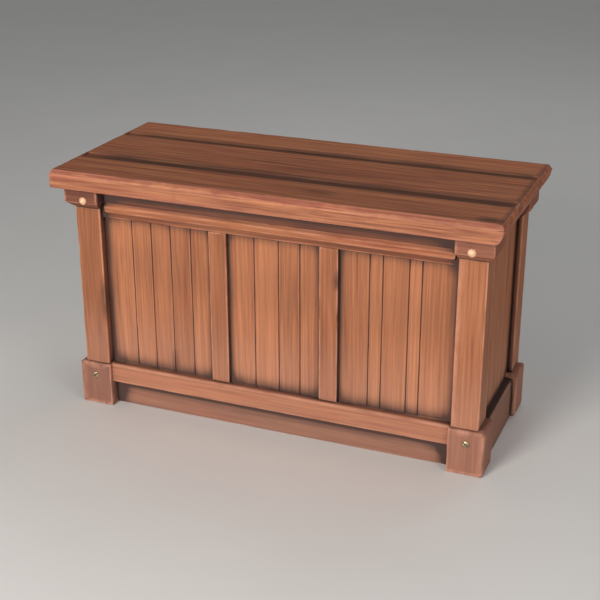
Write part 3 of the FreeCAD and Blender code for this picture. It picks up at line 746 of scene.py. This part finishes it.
    rough = s.about_half(streaks, 0.22, 0.60)
    rough = s.math("ADD", rough, s.math("MULTIPLY", dust, 0.22))
    rough = s.math("SUBTRACT", rough, s.math("MULTIPLY", rubbed_highlight, 0.10), clamp=True)
    relief = s.math("ADD", s.math("MULTIPLY", streaks, 0.8), s.math("MULTIPLY", fibres, 0.6))
    relief = s.math("SUBTRACT", relief, s.math("MULTIPLY", pores, 0.7))
    bump = s.add("Bump", {"Strength": 0.30, "Distance": 0.0005, "Height": relief})
    return s.finish(Base_Color=colour, Roughness=rough, Normal=bump.outputs["Normal"],
                    Specular_IOR_Level=0.06)


def metal(name, bright, tarnish, amount, roughness, scale):
    """Brass or zinc: clouded by tarnish, with fine scratches, and near-black painted shade in its
    corners.
    """
    s = Shader(name)
    place = s.add("TexCoord").outputs["Object"]
    cloud = s.noise(place, scale=scale, detail=5.0, roughness=0.65)
    colour = s.mix(s.band(cloud, *TARNISH_BAND, 0.0, amount), bright, tarnish)
    scratches = s.noise(s.stretched(place, *SCRATCHES), detail=3.0, roughness=0.7)
    rough = s.about_half(scratches, 0.25, roughness)
    rough = s.math("ADD", rough, s.band(cloud, *TARNISH_BAND, 0.0, 0.2 * amount))
    # Painted shade in corners and slots, which also turns the metal dull and dark there.
    dirt = s.band(s.attribute("nook"), *METAL_CREVICE_SHADE_BAND)
    rough = s.math("ADD", rough, s.math("MULTIPLY", dirt, 0.4), clamp=True)
    bump = s.add("Bump", {"Strength": 0.25, "Distance": 0.0002, "Height": scratches})
    return s.finish(Base_Color=s.mix(dirt, colour, CREVICE_SHADE_COLOUR), Metallic=s.math("SUBTRACT", 1.0, dirt),
                    Roughness=rough, Normal=bump.outputs["Normal"])


ROSE = srgb(250, 226, 240)
END_TINT = srgb(244, 228, 222)
# The darker rose of painted shade on the lid's bevelled rim.
RIM_SHADE_COLOUR = srgb(140, 82, 68)
# The pale of worn arrises and of the painted highlight along them.
RUBBED_HIGHLIGHT = srgb(204, 144, 116)
# The grey of painted shade in shaded places.
PAINTED_SHADE_COLOUR = srgb(68, 55, 53)
# The cool grey of even painted shade.
EVEN_SHADE_COLOUR = srgb(72, 79, 81)
FLOOR_DUST = srgb(199, 150, 130)
STAIN_AND_SHADE_COLOUR = srgb(52, 46, 43)
# The near-black of painted shade in nooks.
CREVICE_SHADE_COLOUR = srgb(22, 15, 12)

MATERIALS = {
    "frame_wood": wood("frame_wood", srgb(181, 120, 86), srgb(158, 101, 72), srgb(125, 79, 58)),
    "block_wood": wood("block_wood", srgb(166, 108, 85), srgb(145, 95, 75), srgb(118, 73, 60),
                       rosy=0.5),
    "panel_wood": wood("panel_wood", srgb(193, 127, 90), srgb(166, 108, 77), srgb(135, 84, 62),
                       rosy=0.25, rub_highlight_share=0.25),
    "rail_wood": wood("rail_wood", srgb(189, 124, 86), srgb(164, 105, 75), srgb(131, 79, 58),
                      rosy=0.6, streak=1.2, rub_highlight_share=0.6),
    "lid_wood": wood("lid_wood", srgb(204, 138, 99), srgb(175, 115, 85), srgb(137, 85, 66),
                     rosy=0.6, streak=1.5, rub_highlight_share=0.45, rubbed_highlight_to=srgb(200, 134, 112),
                     top_shade_tint=(0.97, 0.92, 0.86, 1.0)),
    "groove_wood": wood("groove_wood", srgb(184, 122, 88), srgb(158, 102, 75), srgb(124, 77, 58)),
    "inner_wood": wood("inner_wood", srgb(178, 124, 84), srgb(156, 104, 70), srgb(120, 78, 54),
                       streak=1.2),
    "bright_brass": metal("bright_brass", srgb(255, 224, 196), srgb(232, 188, 148),
                          amount=0.5, roughness=0.72, scale=90.0),
    "dull_brass": metal("dull_brass", srgb(210, 190, 156), srgb(122, 102, 76),
                        amount=0.6, roughness=0.42, scale=60.0),
    "zinc_steel": metal("zinc_steel", srgb(190, 190, 188), srgb(128, 124, 118),
                        amount=0.6, roughness=0.38, scale=60.0),
}

SLOTS = {part["node"]: part["material_slot"] for part in frame["record"]["subparts"]}
for node_name in sorted(frame["nodes"]):
    if role_of(node_name):
        timber(node_name)
    else:
        fitting(node_name)


# ---- stage: pale floor, soft lights, camera ----

FLOOR_RADIUS = 16.0
FLOOR_DROP = 0.0004
LIGHTS = (
    # name, place, diameter, watts, colour
    ("key", (-0.7, -3.8, 1.5), 1.5, 125.0, (1.0, 0.97, 0.93)),
    ("fill", (2.8, -2.0, 1.4), 1.8, 24.0, (1.0, 1.0, 1.0)),
    ("back", (0.6, 2.2, 3.2), 2.0, 14.0, (1.0, 1.0, 1.0)),
)
SKY_COLOUR = (0.86, 0.88, 0.90, 1.0)
SKY_STRENGTH = 0.26


def stage_floor():
    floor = Shader("pale_floor")
    place = floor.add("TexCoord").outputs["Object"]
    cloud = floor.noise(place, scale=3.0, detail=4.0)
    tint = floor.mix(cloud, srgb(226, 224, 220), srgb(233, 231, 228))
    material = floor.finish(Base_Color=tint, Roughness=0.85)
    bm = bmesh.new()
    bmesh.ops.create_circle(bm, cap_ends=True, segments=96, radius=FLOOR_RADIUS)
    mesh = bpy.data.meshes.new("floor")
    bm.to_mesh(mesh)
    bm.free()
    mesh.materials.append(material)
    plane = bpy.data.objects.new("floor", mesh)
    plane.location.z = cad_box[0][2] - FLOOR_DROP
    bpy.context.scene.collection.objects.link(plane)


def soft_light(name, place, size, power, colour):
    """A disk of light aimed at the middle of the chest."""
    lamp = bpy.data.lights.new(name, "AREA")
    lamp.shape = "DISK"
    lamp.size = size
    lamp.energy = power
    lamp.color = colour
    light = bpy.data.objects.new(name, lamp)
    light.location = place
    light.rotation_euler = (light.location - middle).to_track_quat("Z", "Y").to_euler()
    bpy.context.scene.collection.objects.link(light)


CAMERA_AZIMUTH = math.radians(22.107)
CAMERA_ELEVATION = math.radians(22.640)
CAMERA_ROLL = math.radians(-0.065)
CAMERA_DISTANCE = 2.84
CAMERA_TARGET = Vector((-0.0045, -0.0012, 0.2604))
LENS_MM = 74.36
SENSOR_MM = 36.0


def camera():
    away = Vector((math.sin(CAMERA_AZIMUTH) * math.cos(CAMERA_ELEVATION),
                   -math.cos(CAMERA_AZIMUTH) * math.cos(CAMERA_ELEVATION),
                   math.sin(CAMERA_ELEVATION)))
    data = bpy.data.cameras.new("camera")
    data.lens = LENS_MM
    data.sensor_width = SENSOR_MM
    eye = bpy.data.objects.new("camera", data)
    eye.location = CAMERA_TARGET + away * CAMERA_DISTANCE
    turn = away.to_track_quat("Z", "Y").to_matrix() @ Matrix.Rotation(CAMERA_ROLL, 3, "Z")
    eye.rotation_euler = turn.to_euler()
    bpy.context.scene.collection.objects.link(eye)
    bpy.context.scene.camera = eye


def world():
    sky = bpy.data.worlds.new("studio")
    sky.use_nodes = True
    background = sky.node_tree.nodes["Background"]
    background.inputs["Color"].default_value = SKY_COLOUR
    background.inputs["Strength"].default_value = SKY_STRENGTH
    bpy.context.scene.world = sky


middle = (Vector(cad_box[0]) + Vector(cad_box[1])) / 2
stage_floor()
for lamp_row in LIGHTS:
    soft_light(*lamp_row)
world()
camera()
bpy.context.scene.view_settings.view_transform = "Standard"
